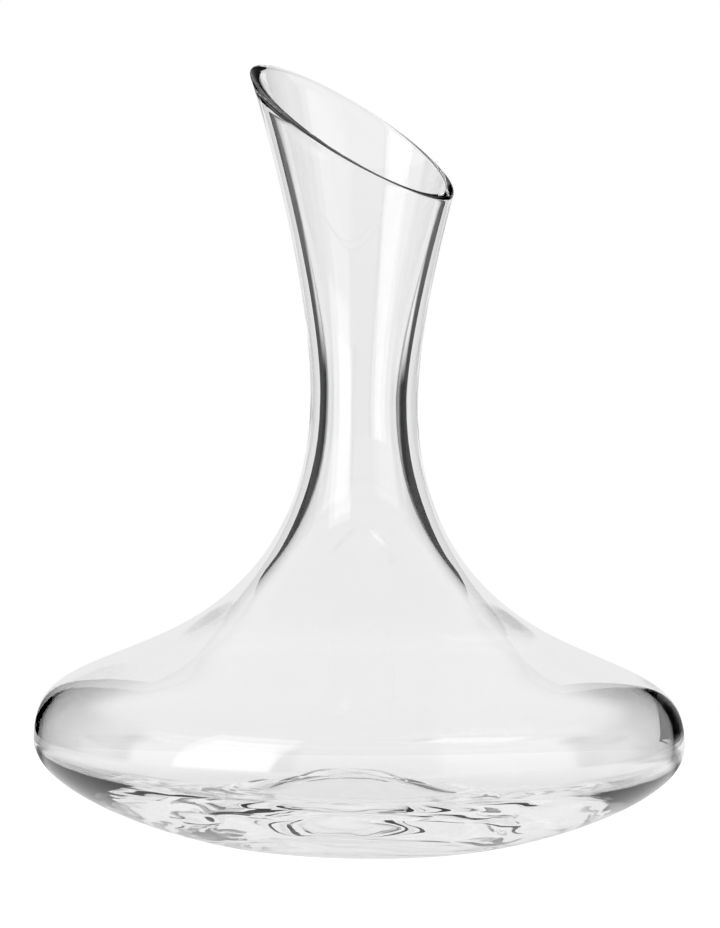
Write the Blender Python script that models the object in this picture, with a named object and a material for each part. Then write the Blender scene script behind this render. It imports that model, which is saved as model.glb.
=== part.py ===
"""A wine decanter: one piece of blown clear glass.

A wide, low bowl draws in over its shoulder to a narrow throat and opens again into a flared neck.
The neck is cut on a slant, so that one side of the mouth stands higher and the other pours. The
base is heavy. It stands on a narrow flat ring, and inside that ring it is pushed up into a punt.

The part stands on z = 0 with its axis on +Z, and the low side of its mouth faces +X.
Run it with: blender --background --python part.py
"""

import math
from typing import NamedTuple

import bmesh
import bpy
from mathutils import Vector
from mathutils.geometry import interpolate_bezier

# Driving dimensions, in metres.
BOWL_RADIUS = 0.105
BOWL_HEIGHT = 0.0330  # of the widest circle of the bowl
SHOULDER_RADIUS = 0.0660  # where the shoulder turns from convex to concave
SHOULDER_HEIGHT = 0.0655
THROAT_RADIUS = 0.0173
THROAT_HEIGHT = 0.143
FLARE_RADIUS = 0.0440  # of the flare as blown, before the mouth is cut from it
FLARE_HEIGHT = 0.2637
MOUTH_HEIGHT = 0.2245  # of the slanted cut, on the axis
MOUTH_TILT = math.radians(32.8)
RING_INNER_RADIUS = 0.0360  # of the flat ring that the decanter stands on
RING_OUTER_RADIUS = 0.0400
PUNT_HEIGHT = 0.0210  # of the hollow under the base, on the axis
FLOOR_HEIGHT = 0.0245  # of the inside of the base, on the axis
MOAT_RADIUS = 0.0430  # of the lowest circle of the inside, round the punt
MOAT_HEIGHT = 0.0105

# How thick the glass is.
BOWL_WALL = 0.0026
SHOULDER_WALL = 0.0033
ROOT_WALL = 0.0045  # halfway from the shoulder up to the throat
THROAT_WALL = 0.0057
MOUTH_WALL = 0.0026

# The fire-polished lip.
LIP_RISE = 0.0010  # how far it stands proud of the cut
LIP_SQUARENESS = 0.6  # 1 is a round lip, and less is flatter with tighter corners
LIP_FACETS = 5

# Headings along a half section, above the horizontal, on the way from the base to the mouth.
LEVEL = 0.0
UPRIGHT = math.radians(90.0)
OVER_SHOULDER = math.radians(155.3)
INTO_FLARE = math.radians(70.5)

SIDES = 60  # of the polygon that stands for each circle
CUT_HALVINGS = 30  # of the stretch in which the cut is searched for


class Station(NamedTuple):
    """A point of a half section, with the way the smooth curve passes through it."""

    radius: float
    height: float
    heading: float
    before: float  # how far the curve keeps this heading before the point: a Bezier handle
    after: float
    facets: int = 0  # of the stretch from here to the next station


OUTSIDE = [
    Station(0.0, PUNT_HEIGHT, LEVEL, before=0.0, after=0.016, facets=6),
    Station(RING_INNER_RADIUS, 0.0, LEVEL, before=0.008, after=0.0, facets=1),
    Station(RING_OUTER_RADIUS, 0.0, LEVEL, before=0.0, after=0.011, facets=10),
    Station(BOWL_RADIUS, BOWL_HEIGHT, UPRIGHT, before=0.0188, after=0.0196, facets=8),
    Station(SHOULDER_RADIUS, SHOULDER_HEIGHT, OVER_SHOULDER, before=0.0289, after=0.0222, facets=8),
    Station(THROAT_RADIUS, THROAT_HEIGHT, UPRIGHT, before=0.0484, after=0.0375, facets=7),
    Station(FLARE_RADIUS, FLARE_HEIGHT, INTO_FLARE, before=0.0284, after=0.0),
]


def inset(station, wall, **changes):
    """The station on the inside of the wall, opposite this one on the outside."""
    radius = station.radius - wall * math.sin(station.heading)
    height = station.height + wall * math.cos(station.heading)
    return station._replace(radius=radius, height=height, **changes)


def control_points(start, end):
    """The four control points of the cubic curve between two stations, in (radius, height)."""
    first, last = Vector((start.radius, start.height)), Vector((end.radius, end.height))
    leaving = Vector((math.cos(start.heading), math.sin(start.heading))) * start.after
    arriving = Vector((math.cos(end.heading), math.sin(end.heading))) * end.before
    return first, first + leaving, last - arriving, last


def first_part(points, share):
    """The control points of a cubic curve's first part, up to this share of its parameter."""
    a, b, c, d = points
    ab, bc, cd = a.lerp(b, share), b.lerp(c, share), c.lerp(d, share)
    abc, bcd = ab.lerp(bc, share), bc.lerp(cd, share)
    return a, ab, abc, abc.lerp(bcd, share)


def halfway(start, end):
    """A station on the smooth curve between two stations, in the middle of it."""
    *_, before, middle = first_part(control_points(start, end), 0.5)
    heading = math.atan2(middle.y - before.y, middle.x - before.x)
    return Station(middle.x, middle.y, heading, before=0.0, after=0.0)


INSIDE = [
    Station(0.0, FLOOR_HEIGHT, LEVEL, before=0.0, after=0.027, facets=6),
    Station(MOAT_RADIUS, MOAT_HEIGHT, LEVEL, before=0.008, after=0.012, facets=10),
    inset(OUTSIDE[3], BOWL_WALL, before=0.0152, after=0.0176),
    inset(OUTSIDE[4], SHOULDER_WALL, before=0.0272, after=0.0150, facets=4),
    inset(halfway(*OUTSIDE[4:6]), ROOT_WALL, before=0.0130, after=0.0130, facets=4),
    inset(OUTSIDE[5], THROAT_WALL, before=0.0310, after=0.0315),
    inset(OUTSIDE[6], MOUTH_WALL),
]


def body_points(stations):
    """The points of a half section from its first station to the throat, without the throat."""
    points = []
    for start, end in zip(stations, stations[1:-1]):
        points += interpolate_bezier(*control_points(start, end), start.facets + 1)[:-1]
    return points


def neck_points(throat, flare, angle):
    """The points from the throat to the slanted cut, at this angle round the axis."""
    whole = control_points(throat, flare)
    below, above = 0.0, 1.0
    for _ in range(CUT_HALVINGS):
        share = (below + above) / 2
        end = first_part(whole, share)[-1]
        if end.y < MOUTH_HEIGHT - math.tan(MOUTH_TILT) * math.cos(angle) * end.x:
            below = share
        else:
            above = share
    return interpolate_bezier(*first_part(whole, below), throat.facets + 1)


def lip_points(outer_end, inner_end):
    """The points over the lip: a flat arch that carries on from both sides of the wall."""
    middle, half_width = (outer_end + inner_end) / 2, (outer_end - inner_end) / 2
    rise = Vector((math.cos(INTO_FLARE), math.sin(INTO_FLARE))) * LIP_RISE
    points = []
    for facet in range(1, LIP_FACETS):
        turn = math.pi * facet / LIP_FACETS
        across = math.copysign(abs(math.cos(turn)) ** LIP_SQUARENESS, math.cos(turn))
        points.append(middle + half_width * across + rise * math.sin(turn) ** LIP_SQUARENESS)
    return points


def half_section(angle):
    """The wall in half section at this angle: up the outside, over the lip and down the inside."""
    outer_neck = neck_points(*OUTSIDE[-2:], angle)
    inner_neck = neck_points(*INSIDE[-2:], angle)
    up_outside = body_points(OUTSIDE) + outer_neck
    up_inside = body_points(INSIDE) + inner_neck
    return up_outside + lip_points(outer_neck[-1], inner_neck[-1]) + up_inside[::-1]


def ring(mesh, points, angles):
    """One vertex at each angle round the axis."""
    return [
        mesh.verts.new((point.x * math.cos(angle), point.x * math.sin(angle), point.y))
        for point, angle in zip(points, angles)
    ]


def glass_mesh():
    """The glass as one closed mesh: rings of quads, with a fan at each end of the half section."""
    mesh = bmesh.new()
    angles = [math.tau * side / SIDES for side in range(SIDES)]
    under, *levels, floor = zip(*(half_section(angle) for angle in angles))
    rings = [ring(mesh, points, angles) for points in levels]
    punt_middle = mesh.verts.new((0.0, 0.0, under[0].y))
    floor_middle = mesh.verts.new((0.0, 0.0, floor[0].y))
    for side in range(SIDES):
        following = (side + 1) % SIDES
        mesh.faces.new((punt_middle, rings[0][following], rings[0][side]))
        mesh.faces.new((floor_middle, rings[-1][side], rings[-1][following]))
        for lower, upper in zip(rings, rings[1:]):
            mesh.faces.new((lower[side], lower[following], upper[following], upper[side]))
    finished = bpy.data.meshes.new("glass_vessel")
    mesh.to_mesh(finished)
    mesh.free()
    finished.shade_smooth()
    return finished


def clear_glass():
    """Clear soda-lime glass."""
    material = bpy.data.materials.new("clear_glass")
    material.use_nodes = True
    shader = material.node_tree.nodes["Principled BSDF"]
    shader.inputs["Base Color"].default_value = (0.96, 0.98, 0.98, 1.0)
    shader.inputs["Roughness"].default_value = 0.02
    shader.inputs["Metallic"].default_value = 0.0
    shader.inputs["IOR"].default_value = 1.52
    shader.inputs["Transmission Weight"].default_value = 1.0
    return material


def main():
    for leftover in list(bpy.data.objects):
        bpy.data.objects.remove(leftover)
    vessel = bpy.data.objects.new("glass_vessel", glass_mesh())
    vessel.data.materials.append(clear_glass())
    bpy.context.scene.collection.objects.link(vessel)


main()
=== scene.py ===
"""The looks of the wine decanter: blown clear glass on a pale floor, in soft studio light.

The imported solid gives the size. This script replaces it with one fine mesh of the same sections,
with the small unevenness that blown glass has, and sets the glass, the light and the camera.
"""

import math
from typing import NamedTuple

import bpy
import numpy as np
from mathutils import Matrix, Vector, noise


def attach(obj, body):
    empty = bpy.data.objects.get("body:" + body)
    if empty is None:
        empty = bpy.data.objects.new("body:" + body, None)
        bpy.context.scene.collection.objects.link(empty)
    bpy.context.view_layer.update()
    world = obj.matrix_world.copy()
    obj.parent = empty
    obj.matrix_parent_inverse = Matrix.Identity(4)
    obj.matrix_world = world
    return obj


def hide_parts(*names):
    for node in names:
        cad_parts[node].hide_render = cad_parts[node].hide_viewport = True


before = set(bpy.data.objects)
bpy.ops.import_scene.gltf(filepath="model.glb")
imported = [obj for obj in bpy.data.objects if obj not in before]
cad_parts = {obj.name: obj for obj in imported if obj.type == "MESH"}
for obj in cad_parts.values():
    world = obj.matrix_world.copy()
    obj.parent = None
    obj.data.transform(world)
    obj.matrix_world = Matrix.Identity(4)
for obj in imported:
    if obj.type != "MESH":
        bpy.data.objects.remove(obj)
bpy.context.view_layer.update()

# Driving dimensions, in metres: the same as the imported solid's.
BOWL_RADIUS = 0.105
BOWL_HEIGHT = 0.0330
SHOULDER_RADIUS = 0.0660
SHOULDER_HEIGHT = 0.0655
THROAT_RADIUS = 0.0173
THROAT_HEIGHT = 0.143
FLARE_RADIUS = 0.0440
FLARE_HEIGHT = 0.2637
MOUTH_HEIGHT = 0.2245
MOUTH_TILT = math.radians(32.8)
RING_INNER_RADIUS = 0.0360
RING_OUTER_RADIUS = 0.0400
PUNT_HEIGHT = 0.0210
FLOOR_HEIGHT = 0.0245
MOAT_RADIUS = 0.0430
MOAT_HEIGHT = 0.0105
BOWL_WALL = 0.0026
SHOULDER_WALL = 0.0033
ROOT_WALL = 0.0045
THROAT_WALL = 0.0057
MOUTH_WALL = 0.0026
LIP_RISE = 0.0010
LIP_SQUARENESS = 0.6
LIP_FACETS = 10

# Headings along a half section, above the horizontal, on the way from the base to the mouth.
LEVEL = 0.0
UPRIGHT = math.radians(90.0)
OVER_SHOULDER = math.radians(155.3)
INTO_FLARE = math.radians(70.5)

SIDES = 360
CUT_HALVINGS = 40

# The unevenness of blown glass. Offsets are to the left, as the camera sees it.
BOWL_OFFSET = 0.0008  # of the middle of the cavity, and so are the next two
THROAT_OFFSET = 0.0004
MOUTH_OFFSET = -0.0006
PUNT_OFFSET = 0.0024  # of the top of the punt, and of the floor over it
PUNT_TOP_RADIUS = 0.010  # out to which the punt keeps the whole of that offset
FLOOR_WAVE, FLOOR_WAVE_LENGTH = 0.00022, 0.013
PUNT_WAVE, PUNT_WAVE_LENGTH = 0.00012, 0.013
WALL_WAVE, WALL_WAVE_LENGTH = 0.00003, 0.040
FLOOR_WAVE_FADE = (0.080, 0.098)  # radii between which the floor's waves die away
PUNT_WAVE_FADE = (0.030, RING_INNER_RADIUS)
BUTTON_RADIUS = 0.0095  # of the mark that the punty rod left in the punt
BUTTON_HEIGHT = 0.0006
BUTTON_EDGE = 0.0012  # half the width of the slope round it

# The camera.
CAMERA_AZIMUTH = math.radians(29.0)
CAMERA_ELEVATION = math.radians(3.0)
CAMERA_ROLL = math.radians(0.87)
CAMERA_DISTANCE = 1.725
CAMERA_LENS = 208.0  # in millimetres, on a sensor 36 mm long
CAMERA_LEVEL = 0.1287  # height of the point of the axis that the elevation is measured from
AIM_DOWN = 0.0063  # from that point to the middle of the picture
AIM_LEFT = 0.0011
CAMERA_LEFT = np.array((-math.cos(CAMERA_AZIMUTH), -math.sin(CAMERA_AZIMUTH), 0.0))

# The floor, in metres and in degrees round from straight behind the decanter. It glows with painted light,
# with painted shade in a dark gap on each side.
FLOOR_RADIUS = 0.45
FLOOR_CORNERS = 96
FLOOR_DROP = 0.0002  # below the decanter, so that the two don't share a plane
FLOOR_LIGHT = 0.62
NEAR_FLOOR_FADE = (0.18, 0.14)  # radii between which the floor all round becomes lit
REAR_FLOOR_FADE = (44.0, 38.0)  # the floor is lit behind, before the backdrop
FRONT_FLOOR_FADE = (52.0, 64.0)  # and at the sides and in front, with a dark gap of painted shade between

# The lit backdrop, in metres: its panes are (left, right, low, high, light), as the camera sees them.
BACKDROP_DISTANCE = 0.18
BACKDROP = [
    (-0.140, 0.133, 0.0, 0.215, 0.84),
    (-0.085, 0.065, 0.215, 0.330, 0.88),
]


# ---------------------------------------------------------------- the glass


class Station(NamedTuple):
    """A point of a half section, with the way the smooth curve passes through it."""

    radius: float
    height: float
    heading: float
    before: float
    after: float
    facets: int = 0


OUTSIDE = [
    Station(0.0, PUNT_HEIGHT, LEVEL, before=0.0, after=0.016, facets=14),
    Station(RING_INNER_RADIUS, 0.0, LEVEL, before=0.008, after=0.0, facets=2),
    Station(RING_OUTER_RADIUS, 0.0, LEVEL, before=0.0, after=0.011, facets=28),
    Station(BOWL_RADIUS, BOWL_HEIGHT, UPRIGHT, before=0.0188, after=0.0196, facets=22),
    Station(SHOULDER_RADIUS, SHOULDER_HEIGHT, OVER_SHOULDER, before=0.0289, after=0.0222, facets=24),
    Station(THROAT_RADIUS, THROAT_HEIGHT, UPRIGHT, before=0.0484, after=0.0375, facets=28),
    Station(FLARE_RADIUS, FLARE_HEIGHT, INTO_FLARE, before=0.0284, after=0.0),
]


def inset(station, wall, **changes):
    """The station on the inside of the wall, opposite this one on the outside."""
    radius = station.radius - wall * math.sin(station.heading)
    height = station.height + wall * math.cos(station.heading)
    return station._replace(radius=radius, height=height, **changes)


def control_points(start, end):
    """The four control points of the cubic curve between two stations, in (radius, height)."""
    first, last = np.array((start.radius, start.height)), np.array((end.radius, end.height))
    leaving = np.array((math.cos(start.heading), math.sin(start.heading))) * start.after
    arriving = np.array((math.cos(end.heading), math.sin(end.heading))) * end.before
    return np.array([first, first + leaving, last - arriving, last])


def first_part(points, share):
    """The control points of a cubic curve's first part, up to this share of its parameter."""
    a, b, c, d = points
    ab, bc, cd = a + (b - a) * share, b + (c - b) * share, c + (d - c) * share
    abc, bcd = ab + (bc - ab) * share, bc + (cd - bc) * share
    return a, ab, abc, abc + (bcd - abc) * share


def halfway(start, end):
    """A station on the smooth curve between two stations, in the middle of it."""
    *_, before, middle = first_part(control_points(start, end), 0.5)
    heading = math.atan2(middle[1] - before[1], middle[0] - before[0])
    return Station(middle[0], middle[1], heading, before=0.0, after=0.0)


INSIDE = [
    Station(0.0, FLOOR_HEIGHT, LEVEL, before=0.0, after=0.027, facets=26),
    Station(MOAT_RADIUS, MOAT_HEIGHT, LEVEL, before=0.008, after=0.012, facets=38),
    inset(OUTSIDE[3], BOWL_WALL, before=0.0152, after=0.0176, facets=20),
    inset(OUTSIDE[4], SHOULDER_WALL, before=0.0272, after=0.0150, facets=11),
    inset(halfway(*OUTSIDE[4:6]), ROOT_WALL, before=0.0130, after=0.0130, facets=13),
    inset(OUTSIDE[5], THROAT_WALL, before=0.0310, after=0.0315),
    inset(OUTSIDE[6], MOUTH_WALL),
]


def curve_points(points, facets):
    """The points of a cubic curve, with its two ends."""
    t = np.linspace(0.0, 1.0, facets + 1)[:, None]
    a, b, c, d = points
    return (1 - t) ** 3 * a + 3 * t * (1 - t) ** 2 * b + 3 * t**2 * (1 - t) * c + t**3 * d


def body_points(stations):
    """The points of a half section from its first station to the throat, without the throat."""
    stretches = zip(stations, stations[1:-1])
    return np.concatenate([curve_points(control_points(a, b), a.facets)[:-1] for a, b in stretches])


def neck_points(throat, flare, angle):
    """The points from the throat to the slanted cut, at this angle round the axis."""
    whole = control_points(throat, flare)
    below, above = 0.0, 1.0
    for _ in range(CUT_HALVINGS):
        share = (below + above) / 2
        radius, height = first_part(whole, share)[-1]
        if height < MOUTH_HEIGHT - math.tan(MOUTH_TILT) * math.cos(angle) * radius:
            below = share
        else:
            above = share
    return curve_points(first_part(whole, below), throat.facets)


def lip_points(outer_end, inner_end):
    """The points over the lip: a flat arch that carries on from both sides of the wall."""
    middle, half_width = (outer_end + inner_end) / 2, (outer_end - inner_end) / 2
    rise = np.array((math.cos(INTO_FLARE), math.sin(INTO_FLARE))) * LIP_RISE
    turn = np.linspace(0.0, math.pi, LIP_FACETS + 1)[1:-1, None]
    across = np.sign(np.cos(turn)) * np.abs(np.cos(turn)) ** LIP_SQUARENESS
    return middle + half_width * across + rise * np.sin(turn) ** LIP_SQUARENESS


def half_section(angle):
    """The wall in half section at this angle: up the outside, over the lip and down the inside."""
    outer_neck = neck_points(*OUTSIDE[-2:], angle)
    inner_neck = neck_points(*INSIDE[-2:], angle)
    up_outside = np.concatenate([body_points(OUTSIDE), outer_neck])
    up_inside = np.concatenate([body_points(INSIDE), inner_neck])
    lip = lip_points(outer_neck[-1], inner_neck[-1])
    return np.concatenate([up_outside, lip, up_inside[::-1]])


def cavity_share():
    """How far each point of a half section follows the cavity: 0 outside, 1 inside, between on the lip."""
    outer_count = len(body_points(OUTSIDE)) + OUTSIDE[-2].facets + 1
    inner_count = len(body_points(INSIDE)) + INSIDE[-2].facets + 1
    over_lip = np.linspace(0.0, 1.0, LIP_FACETS + 1)[1:-1]
    return np.concatenate([np.zeros(outer_count), over_lip, np.ones(inner_count)])


def cavity_offset(height):
    """How far the middle of the cavity stands off the axis at this height."""
    heights = (BOWL_HEIGHT, SHOULDER_HEIGHT, THROAT_HEIGHT, MOUTH_HEIGHT)
    return np.interp(height, heights, (BOWL_OFFSET, 0.0, THROAT_OFFSET, MOUTH_OFFSET))


def smooth_step(value, start, end):
    """0 before start and 1 past end, with a smooth rise between them."""
    share = np.clip((value - start) / (end - start), 0.0, 1.0)
    return share * share * (3.0 - 2.0 * share)


def waves(points, length, layer):
    """Smooth noise between about -1 and 1 at each point, with bumps of this length."""
    spots = (points / length + layer).reshape(-1, 3).tolist()
    return np.array([noise.noise(spot) for spot in spots]).reshape(points.shape[:-1])


def make_uneven(points, share):
    """Moves the points of the true round shape to where blown glass would have them."""
    radius, height = np.hypot(points[..., 0], points[..., 1]), points[..., 2].copy()
    inner = np.broadcast_to(share[:, None], radius.shape)
    low = height < BOWL_HEIGHT
    floor = inner * (1.0 - smooth_step(radius, *FLOOR_WAVE_FADE)) * low
    punt = (inner == 0.0) * (1.0 - smooth_step(radius, *PUNT_WAVE_FADE)) * low
    button = 1.0 - smooth_step(radius, BUTTON_RADIUS - BUTTON_EDGE, BUTTON_RADIUS + BUTTON_EDGE)
    wave = FLOOR_WAVE * floor * waves(points, FLOOR_WAVE_LENGTH, 3.1)
    wave += PUNT_WAVE * punt * waves(points, PUNT_WAVE_LENGTH, 7.7)
    points[..., 2] += wave - BUTTON_HEIGHT * button * punt
    middle = (1.0 - smooth_step(radius, PUNT_TOP_RADIUS, MOAT_RADIUS)) * low
    offset = inner * cavity_offset(height) + PUNT_OFFSET * middle
    points += offset[..., None] * CAMERA_LEFT
    swell = WALL_WAVE * inner * (1.0 - floor) * waves(points, WALL_WAVE_LENGTH, 5.3)
    points[..., :2] *= (1.0 + swell / radius)[..., None]


def glass_mesh():
    """The glass as one closed mesh: rings of quads, with a fan at each end of the half section."""
    angles = np.arange(SIDES) * math.tau / SIDES
    sections = np.array([half_section(angle) for angle in angles])
    radius, height = sections[:, 1:-1, 0].T, sections[:, 1:-1, 1].T
    points = np.stack([radius * np.cos(angles), radius * np.sin(angles), height], axis=-1)
    make_uneven(points, cavity_share()[1:-1])
    levels = len(points)
    ends = [points[0].mean(axis=0), points[-1].mean(axis=0)]
    vertices = np.concatenate([points.reshape(-1, 3), ends])
    here = np.arange(SIDES)
    following = (here + 1) % SIDES
    first = np.arange(levels - 1)[:, None] * SIDES
    quads = np.stack(
        [first + here, first + following, first + SIDES + following, first + SIDES + here], axis=-1
    )
    last, under, floor = (levels - 1) * SIDES, levels * SIDES, levels * SIDES + 1
    faces = quads.reshape(-1, 4).tolist()
    faces += [(under, b, a) for a, b in zip(here.tolist(), following.tolist())]
    faces += [(floor, last + a, last + b) for a, b in zip(here.tolist(), following.tolist())]
    mesh = bpy.data.meshes.new("decanter_glass")
    mesh.from_pydata(vertices.tolist(), [], faces)
    mesh.shade_smooth()
    return mesh


def clear_glass():
    """Clear soda-lime glass, with faint cords and ripples that the blowing left in it."""
    material = bpy.data.materials.new("clear_glass")
    material.use_nodes = True
    nodes, links = material.node_tree.nodes, material.node_tree.links
    shader = nodes["Principled BSDF"]
    shader.inputs["Roughness"].default_value = 0.0
    shader.inputs["IOR"].default_value = 1.52
    shader.inputs["Transmission Weight"].default_value = 1.0
    place = nodes.new("ShaderNodeTexCoord").outputs["Object"]
    cords = nodes.new("ShaderNodeTexNoise")
    cords.inputs["Scale"].default_value = 45.0
    cords.inputs["Detail"].default_value = 2.0
    links.new(place, cords.inputs["Vector"])
    tint = nodes.new("ShaderNodeMix")
    tint.data_type = "RGBA"
    tint.inputs["A"].default_value = (0.990, 0.993, 0.992, 1.0)
    tint.inputs["B"].default_value = (1.0, 1.0, 1.0, 1.0)
    links.new(cords.outputs["Fac"], tint.inputs["Factor"])
    links.new(tint.outputs["Result"], shader.inputs["Base Color"])
    ripples = nodes.new("ShaderNodeTexNoise")
    ripples.inputs["Scale"].default_value = 90.0
    ripples.inputs["Detail"].default_value = 1.0
    links.new(place, ripples.inputs["Vector"])
    bump = nodes.new("ShaderNodeBump")
    bump.inputs["Strength"].default_value = 0.08
    bump.inputs["Distance"].default_value = 0.0001
    links.new(ripples.outputs["Fac"], bump.inputs["Height"])
    links.new(bump.outputs["Normal"], shader.inputs["Normal"])
    return material


def make_glass():
    glass = bpy.data.objects.new("decanter_glass", glass_mesh())
    glass.data.materials.append(clear_glass())
    bpy.context.scene.collection.objects.link(glass)
    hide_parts("glass_vessel")
    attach(glass, "root")


# ---------------------------------------------------------------- floor, light and camera


class Band(NamedTuple):
    """A lit stretch of the surroundings, in degrees round from straight behind and above level."""

    left: float
    right: float
    low: float
    high: float
    soft: float
    light: float
    lean: float = 0.0  # how far the band shifts round for each degree above level


STUDIO = [
    Band(left=-150, right=-93, low=-100, high=32, soft=5, light=1.2),  # the wide light on the left
    Band(left=-150, right=-113, low=-19, high=42, soft=2, light=1.5, lean=-0.18),  # its softbox
    Band(left=97, right=150, low=-100, high=32, soft=6, light=1.25),  # the light on the right
    Band(left=-84, right=-66, low=-12, high=32, soft=8, light=0.4),  # weak light past the gaps
    Band(left=66, right=84, low=-12, high=32, soft=8, light=0.3),
    Band(left=-93, right=-50, low=-100, high=-12, soft=8, light=0.9),  # the far table
    Band(left=50, right=97, low=-100, high=-12, soft=8, light=0.9),
    Band(left=150, right=190, low=-100, high=32, soft=6, light=0.7),  # behind the camera
    Band(left=-190, right=-158, low=-100, high=32, soft=6, light=0.7),
    Band(left=-190, right=190, low=32, high=100, soft=14, light=0.95),  # overhead
]


def math_node(nodes, links, operation, *values):
    node = nodes.new("ShaderNodeMath")
    node.operation = operation
    for socket, value in zip(node.inputs, values):
        if isinstance(value, (int, float)):
            socket.default_value = value
        else:
            links.new(value, socket)
    return node.outputs[0]


def step_node(nodes, links, value, start, end):
    """0 before start and 1 past end, with a smooth rise between them."""
    node = nodes.new("ShaderNodeMapRange")
    node.interpolation_type = "SMOOTHSTEP"
    node.inputs["From Min"].default_value = start
    node.inputs["From Max"].default_value = end
    links.new(value, node.inputs["Value"])
    return node.outputs["Result"]


def direction_nodes(nodes, links, vector):
    """A direction's angle round from straight behind the decanter, and above level, in degrees."""
    turned = nodes.new("ShaderNodeVectorRotate")
    turned.rotation_type = "Z_AXIS"
    turned.inputs["Angle"].default_value = -CAMERA_AZIMUTH
    links.new(vector, turned.inputs["Vector"])
    parts = nodes.new("ShaderNodeSeparateXYZ")
    links.new(turned.outputs["Vector"], parts.inputs["Vector"])
    across, away, up = parts.outputs
    azimuth = math_node(nodes, links, "DEGREES", math_node(nodes, links, "ARCTAN2", across, away))
    return azimuth, math_node(nodes, links, "DEGREES", math_node(nodes, links, "ARCSINE", up))


def band_node(nodes, links, azimuth, elevation, band):
    """The light of one band, in the directions that it covers."""
    half = band.soft / 2
    shift = math_node(nodes, links, "MULTIPLY", elevation, band.lean)
    azimuth = math_node(nodes, links, "SUBTRACT", azimuth, shift)
    edges = [
        step_node(nodes, links, azimuth, band.left - half, band.left + half),
        step_node(nodes, links, azimuth, band.right + half, band.right - half),
        step_node(nodes, links, elevation, band.low - half, band.low + half),
        step_node(nodes, links, elevation, band.high + half, band.high - half),
    ]
    light = band.light
    for edge in edges:
        light = math_node(nodes, links, "MULTIPLY", edge, light)
    return light


def make_world():
    """Soft light from both sides and above, with dark gaps between for the glass's edges."""
    world = bpy.data.worlds.new("studio")
    bpy.context.scene.world = world
    world.use_nodes = True
    nodes, links = world.node_tree.nodes, world.node_tree.links
    background = nodes["Background"]
    background.inputs["Color"].default_value = (1.0, 1.0, 1.0, 1.0)
    generated = nodes.new("ShaderNodeTexCoord").outputs["Generated"]
    azimuth, elevation = direction_nodes(nodes, links, generated)
    total = 0.0
    for band in STUDIO:
        light = band_node(nodes, links, azimuth, elevation, band)
        total = math_node(nodes, links, "ADD", light, total)
    path = nodes.new("ShaderNodeLightPath")
    seen = math_node(nodes, links, "MAXIMUM", path.outputs["Is Camera Ray"], total)
    links.new(seen, background.inputs["Strength"])


def make_floor():
    """A disc that the decanter stands on, plain white to the camera; elsewhere it glows with painted
    light, with painted shade in a darker gap on each side behind.
    """
    mesh = bpy.data.meshes.new("studio_floor")
    turns = [math.tau * corner / FLOOR_CORNERS for corner in range(FLOOR_CORNERS)]
    edge = [(FLOOR_RADIUS * math.cos(turn), FLOOR_RADIUS * math.sin(turn), 0.0) for turn in turns]
    mesh.from_pydata(edge, [], [list(range(FLOOR_CORNERS))])
    floor = bpy.data.objects.new("studio_floor", mesh)
    floor.location.z = -FLOOR_DROP
    bpy.context.scene.collection.objects.link(floor)
    material = bpy.data.materials.new("floor_painted_light")
    material.use_nodes = True
    nodes, links = material.node_tree.nodes, material.node_tree.links
    shader = nodes["Principled BSDF"]
    shader.inputs["Base Color"].default_value = (0.3, 0.3, 0.3, 1.0)
    shader.inputs["Roughness"].default_value = 1.0
    shader.inputs["Specular IOR Level"].default_value = 0.0
    shader.inputs["Emission Color"].default_value = (1.0, 1.0, 1.0, 1.0)
    place = nodes.new("ShaderNodeTexCoord").outputs["Object"]
    far = nodes.new("ShaderNodeVectorMath")
    far.operation = "LENGTH"
    links.new(place, far.inputs[0])
    outward = nodes.new("ShaderNodeVectorMath")
    outward.operation = "NORMALIZE"
    links.new(place, outward.inputs[0])
    azimuth, _ = direction_nodes(nodes, links, outward.outputs["Vector"])
    aside = math_node(nodes, links, "ABSOLUTE", azimuth)
    # Painted light: the floor glows, and a dark gap of painted shade lies on each side beyond the near
    # floor.
    near = step_node(nodes, links, far.outputs["Value"], *NEAR_FLOOR_FADE)
    behind = step_node(nodes, links, aside, *REAR_FLOOR_FADE)
    before = step_node(nodes, links, aside, *FRONT_FLOOR_FADE)
    lit = math_node(nodes, links, "MAXIMUM", near, math_node(nodes, links, "MAXIMUM", behind, before))
    lit = math_node(nodes, links, "MULTIPLY", FLOOR_LIGHT, lit)
    path = nodes.new("ShaderNodeLightPath")
    seen = math_node(nodes, links, "MAXIMUM", path.outputs["Is Camera Ray"], lit)
    links.new(seen, shader.inputs["Emission Strength"])
    mesh.materials.append(material)


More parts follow.
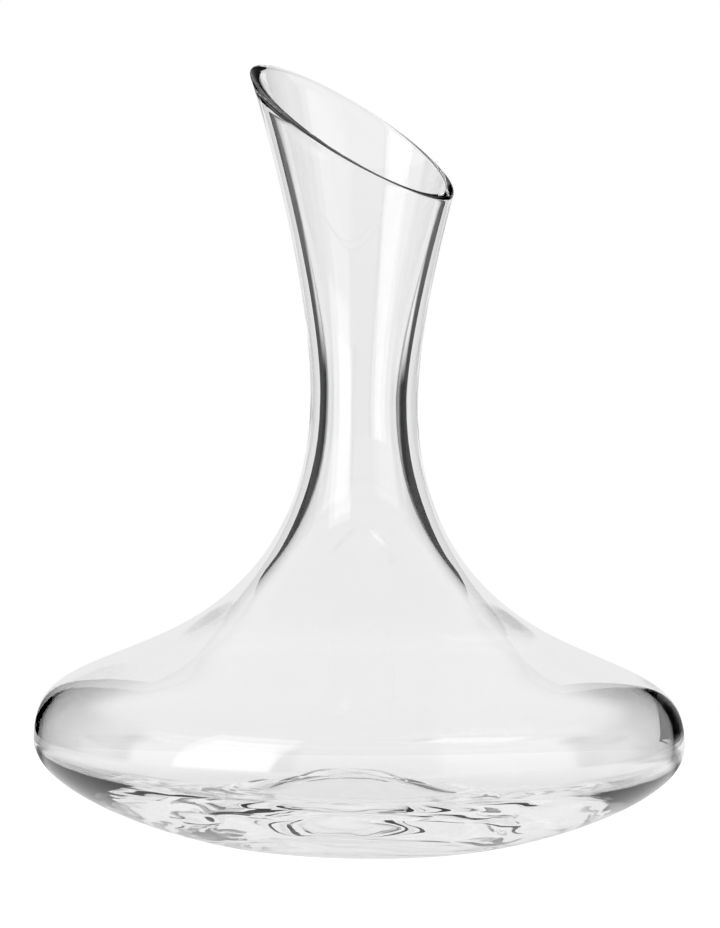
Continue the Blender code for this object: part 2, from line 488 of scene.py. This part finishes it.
def make_backdrop():
    """A lit screen behind the decanter, which shows only through and in the glass."""
    for number, (left, right, low, high, light) in enumerate(BACKDROP):
        mesh = bpy.data.meshes.new("backdrop_%d" % number)
        corners = [(left, 0.0, low), (right, 0.0, low), (right, 0.0, high), (left, 0.0, high)]
        mesh.from_pydata(corners, [], [(0, 1, 2, 3)])
        pane = bpy.data.objects.new("backdrop_%d" % number, mesh)
        pane.rotation_euler.z = CAMERA_AZIMUTH
        pane.location.x = -math.sin(CAMERA_AZIMUTH) * BACKDROP_DISTANCE
        pane.location.y = math.cos(CAMERA_AZIMUTH) * BACKDROP_DISTANCE
        pane.visible_camera = False
        bpy.context.scene.collection.objects.link(pane)
        material = bpy.data.materials.new("backdrop_light_%d" % number)
        material.use_nodes = True
        nodes = material.node_tree.nodes
        nodes.remove(nodes["Principled BSDF"])
        emission = nodes.new("ShaderNodeEmission")
        emission.inputs["Strength"].default_value = light
        output = nodes["Material Output"].inputs["Surface"]
        material.node_tree.links.new(emission.outputs["Emission"], output)
        mesh.materials.append(material)


def make_camera():
    data = bpy.data.cameras.new("camera")
    data.lens = CAMERA_LENS
    data.sensor_width = 36.0
    camera = bpy.data.objects.new("camera", data)
    bpy.context.scene.collection.objects.link(camera)
    bpy.context.scene.camera = camera
    level = math.cos(CAMERA_ELEVATION)
    across, away = math.sin(CAMERA_AZIMUTH) * level, -math.cos(CAMERA_AZIMUTH) * level
    back = Vector((across, away, math.sin(CAMERA_ELEVATION)))
    camera.location = Vector((0.0, 0.0, CAMERA_LEVEL)) + back * CAMERA_DISTANCE
    aim = Vector((0.0, 0.0, CAMERA_LEVEL - AIM_DOWN)) + Vector(CAMERA_LEFT) * AIM_LEFT
    looking = (aim - camera.location).to_track_quat("-Z", "Y").to_matrix()
    camera.rotation_euler = (looking @ Matrix.Rotation(CAMERA_ROLL, 3, "Z")).to_euler()


def set_light_paths():
    """Enough bounces for light to find its way through all the walls of the glass."""
    scene = bpy.context.scene
    scene.view_settings.view_transform = "Standard"
    scene.cycles.max_bounces = 32
    scene.cycles.transmission_bounces = 32
    scene.cycles.glossy_bounces = 16


make_glass()
make_floor()
make_backdrop()
make_world()
make_camera()
set_light_paths()
